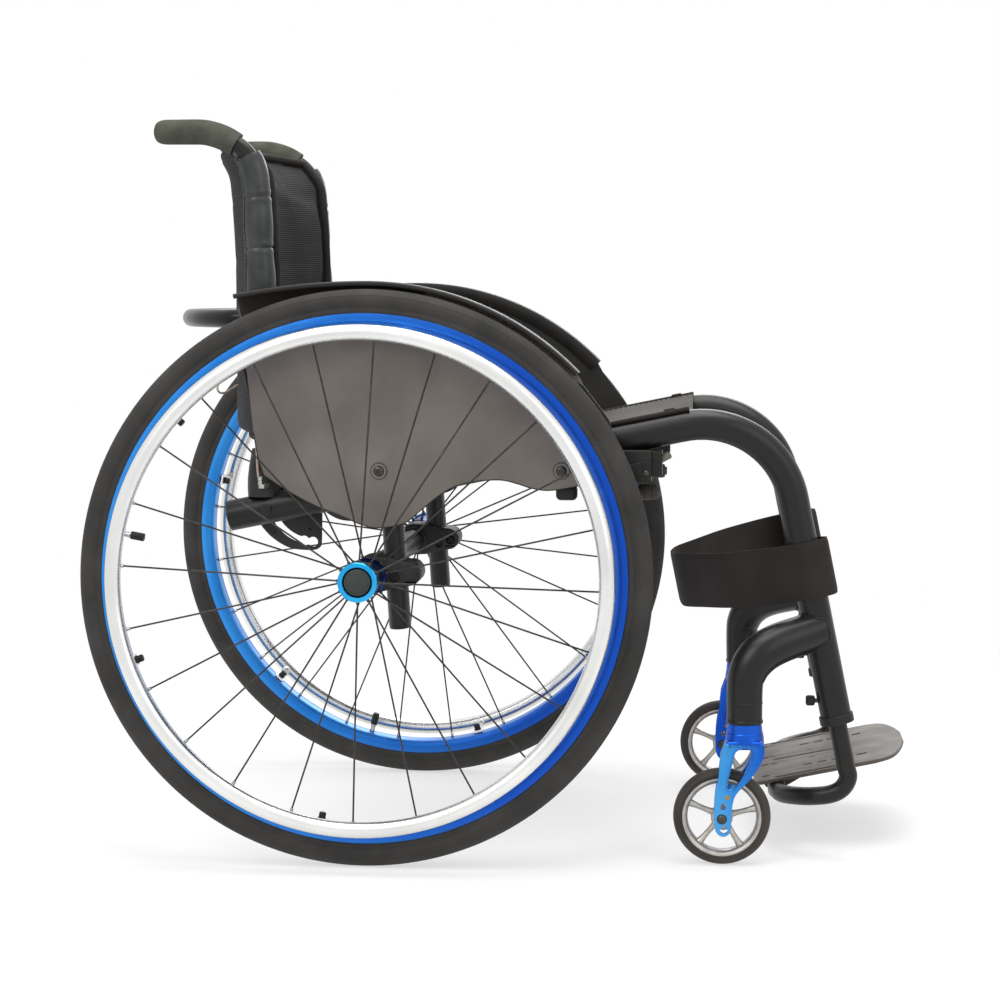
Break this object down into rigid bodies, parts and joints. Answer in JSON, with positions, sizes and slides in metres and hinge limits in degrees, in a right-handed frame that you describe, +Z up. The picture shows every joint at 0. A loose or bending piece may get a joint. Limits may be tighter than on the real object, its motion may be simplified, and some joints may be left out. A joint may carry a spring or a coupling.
{
  "type": "active wheelchair",
  "caption": "Rigid-frame active wheelchair with cambered quick-release wheels, handrims, castors, fold-down back, side guards, scissor brakes, calf strap and footplate.",
  "frame": {"origin": "bottom centre of the bounding box, on the floor between all the wheels", "axes": "+X forward, +Y to the occupant's left, +Z up"},
  "size_m": [0.857, 0.603, 0.7651],
  "materials": {
    "black_powder_coat": "satin black powder coat",
    "black_casting": "matt black cast aluminium",
    "blue_anodised": "bright blue anodised, polished",
    "silver_anodised": "clear anodised, polished",
    "steel": "zinc plated",
    "tyre_rubber": "slick grey-black rubber",
    "castor_rubber": "solid grey polyurethane",
    "black_plastic": "fine moulded grain",
    "guard_laminate": "woven-look laminate",
    "webbing": "black nylon weave",
    "leather": "black soft leather",
    "grip_foam": "foam rubber",
    "composite": "greige moulded composite",
    "cord": "pale braided cord"
  },
  "bodies": {
    "root": {"camber_tube": "black_powder_coat", "front_cross_tube": "black_powder_coat", "seat_sling": "webbing", "calf_strap": "webbing", "frame_side_right": "black_powder_coat", "column_right": "black_powder_coat", "axle_clamp_right": "black_casting", "side_guard_right": "guard_laminate", "fender_right": "black_plastic", "brake_body_right": "black_plastic", "castor_bearing_right": "steel", "quick_release_axle_right": "steel", "frame_side_left": "black_powder_coat", "column_left": "black_powder_coat", "axle_clamp_left": "black_casting", "side_guard_left": "guard_laminate", "fender_left": "black_plastic", "brake_body_left": "black_plastic", "castor_bearing_left": "steel", "quick_release_axle_left": "steel"},
    "backrest": {"back_upholstery": "webbing", "stabiliser_bar": "black_powder_coat", "release_cord": "cord", "back_bracket_right": "black_casting", "lock_quadrant_right": "black_casting", "back_post_right": "black_powder_coat", "post_sleeve_right": "leather", "push_grip_right": "grip_foam", "back_bracket_left": "black_casting", "lock_quadrant_left": "black_casting", "back_post_left": "black_powder_coat", "post_sleeve_left": "leather", "push_grip_left": "grip_foam"},
    "footrest": {"footrest_tube": "black_powder_coat", "footplate": "composite", "footplate_bracket": "black_casting"},
    "rear_wheel_right": {"rear_tyre_right": "tyre_rubber", "rear_rim_right": "blue_anodised", "wheel_hub_right": "blue_anodised", "handrim_right": "silver_anodised"},
    "castor_right": {"castor_fork_right": "blue_anodised", "castor_axle_right": "steel"},
    "castor_wheel_right": {"castor_tyre_right": "castor_rubber", "castor_rim_right": "silver_anodised"},
    "brake_right": {"brake_lever_right": "black_plastic", "brake_shoe_right": "castor_rubber"},
    "lock_pin_right": {"lock_pin_right": "steel"},
    "axle_button_right": {"quick_release_button_right": "black_plastic"},
    "rear_wheel_left": {"rear_tyre_left": "tyre_rubber", "rear_rim_left": "blue_anodised", "wheel_hub_left": "blue_anodised", "handrim_left": "silver_anodised"},
    "castor_left": {"castor_fork_left": "blue_anodised", "castor_axle_left": "steel"},
    "castor_wheel_left": {"castor_tyre_left": "castor_rubber", "castor_rim_left": "silver_anodised"},
    "brake_left": {"brake_lever_left": "black_plastic", "brake_shoe_left": "castor_rubber"},
    "lock_pin_left": {"lock_pin_left": "steel"},
    "axle_button_left": {"quick_release_button_left": "black_plastic"}
  },
  "joints": [
    {"name": "rear_wheel_right_spin", "type": "hinge", "parent": "root", "child": "rear_wheel_right", "pos_m": [-0.13475, -0.24, 0.29482], "axis": [0, 0.9994, -0.0349], "continuous": true},
    {"name": "castor_right_swivel", "type": "hinge", "parent": "root", "child": "castor_right", "pos_m": [0.25325, -0.208, 0.147], "axis": [0, 0, 1], "continuous": true},
    {"name": "castor_right_spin", "type": "hinge", "parent": "castor_right", "child": "castor_wheel_right", "pos_m": [0.23075, -0.208, 0.05], "axis": [0, 1, 0], "continuous": true},
    {"name": "rear_wheel_left_spin", "type": "hinge", "parent": "root", "child": "rear_wheel_left", "pos_m": [-0.13475, 0.24, 0.29482], "axis": [0, 0.9994, 0.0349], "continuous": true},
    {"name": "castor_left_swivel", "type": "hinge", "parent": "root", "child": "castor_left", "pos_m": [0.25325, 0.208, 0.147], "axis": [0, 0, 1], "continuous": true},
    {"name": "castor_left_spin", "type": "hinge", "parent": "castor_left", "child": "castor_wheel_left", "pos_m": [0.23075, 0.208, 0.05], "axis": [0, 1, 0], "continuous": true},
    {"name": "back_fold", "type": "hinge", "parent": "root", "child": "backrest", "pos_m": [-0.19875, 0, 0.3706], "axis": [0, 1, 0], "range_deg": [0, 77]},
    {"name": "brake_right_turn", "type": "hinge", "parent": "root", "child": "brake_right", "pos_m": [0.11525, -0.195, 0.379], "axis": [0, 0, 1], "range_deg": [-90, 0]},
    {"name": "brake_left_turn", "type": "hinge", "parent": "root", "child": "brake_left", "pos_m": [0.11525, 0.195, 0.379], "axis": [0, 0, 1], "range_deg": [0, 90]},
    {"name": "footrest_slide", "type": "slide", "parent": "root", "child": "footrest", "axis": [0.2011, 0, -0.9796], "range_m": [-0.03, 0.03]},
    {"name": "lock_pin_right_slide", "type": "slide", "parent": "root", "child": "lock_pin_right", "axis": [0, -1, 0], "range_m": [0, 0.006], "stiffness_N_per_m": 300},
    {"name": "lock_pin_left_slide", "type": "slide", "parent": "root", "child": "lock_pin_left", "axis": [0, 1, 0], "range_m": [0, 0.006], "stiffness_N_per_m": 300},
    {"name": "axle_button_right_press", "type": "slide", "parent": "root", "child": "axle_button_right", "axis": [0, 0.9994, -0.0349], "range_m": [0, 0.004], "stiffness_N_per_m": 400},
    {"name": "axle_button_left_press", "type": "slide", "parent": "root", "child": "axle_button_left", "axis": [0, -0.9994, -0.0349], "range_m": [0, 0.004], "stiffness_N_per_m": 400}
  ],
  "couplings": [
    {"joint": "lock_pin_left_slide", "follows": "lock_pin_right_slide", "ratio": 1}
  ]
}
